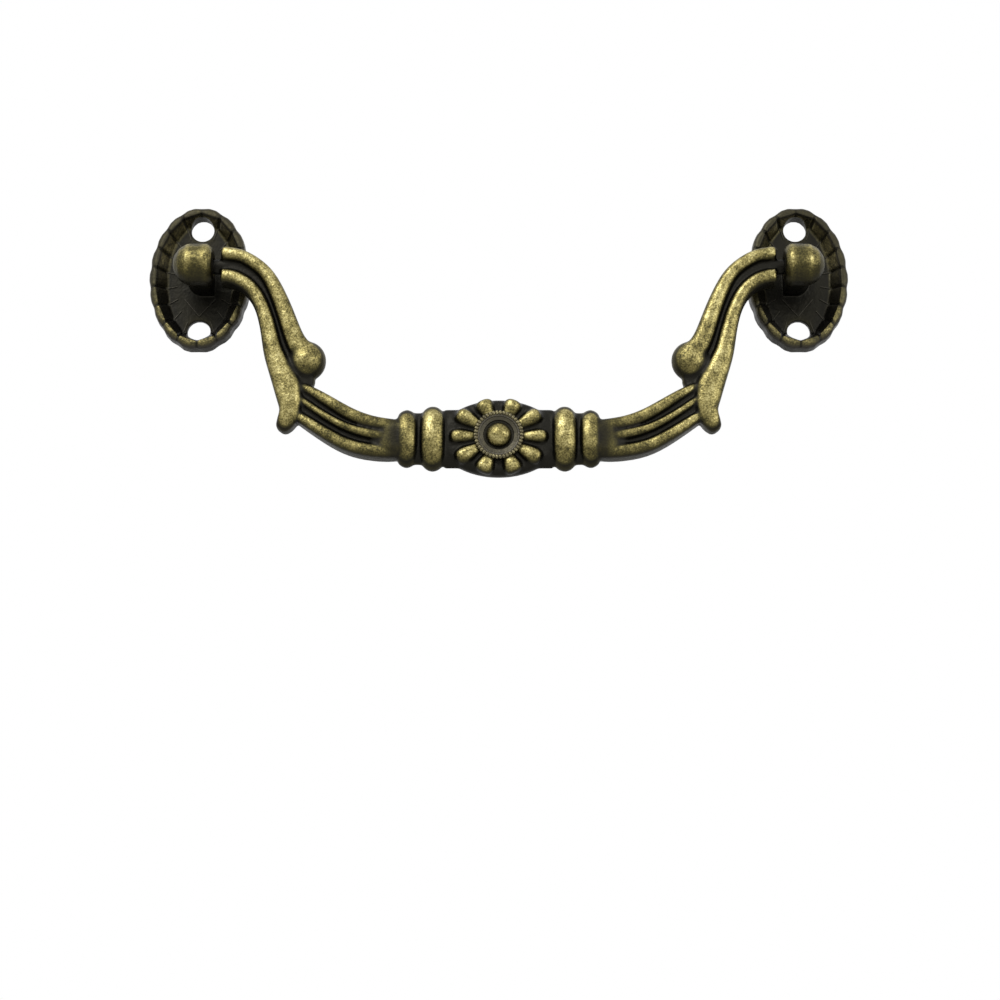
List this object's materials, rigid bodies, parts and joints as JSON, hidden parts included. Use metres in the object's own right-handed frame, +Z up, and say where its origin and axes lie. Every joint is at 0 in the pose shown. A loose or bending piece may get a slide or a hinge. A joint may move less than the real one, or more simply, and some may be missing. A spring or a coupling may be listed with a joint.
{
  "type": "drawer pull",
  "caption": "Antique swan-neck bail drawer pull with a daisy rosette grip, hung on pins between posts cast on oval dished backplates with scalloped rims.",
  "frame": {"origin": "midway between the two backplates, on the plane of their back faces, level with the screw-hole pattern's centre", "axes": "+X to the right along the drawer front, -Y out of the drawer front towards the user, +Z up; the bail hangs straight down"},
  "size_m": [0.1122, 0.0114, 0.0464],
  "materials": {
    "left_backplate": "antique brass, darkened, rubbed on the high spots",
    "right_backplate": "antique brass, darkened, rubbed on the high spots",
    "bail": "antique brass, dark in the hollows, rubbed bright on the high spots"
  },
  "bodies": {
    "backplates": {"left_backplate": "left_backplate", "right_backplate": "right_backplate"},
    "bail": {"bail": "bail"}
  },
  "joints": [
    {"name": "bail_swing", "type": "hinge", "parent": "backplates", "child": "bail", "pos_m": [0, -0.007, 0], "axis": [-1, 0, 0], "range_deg": [-8, 186]}
  ]
}
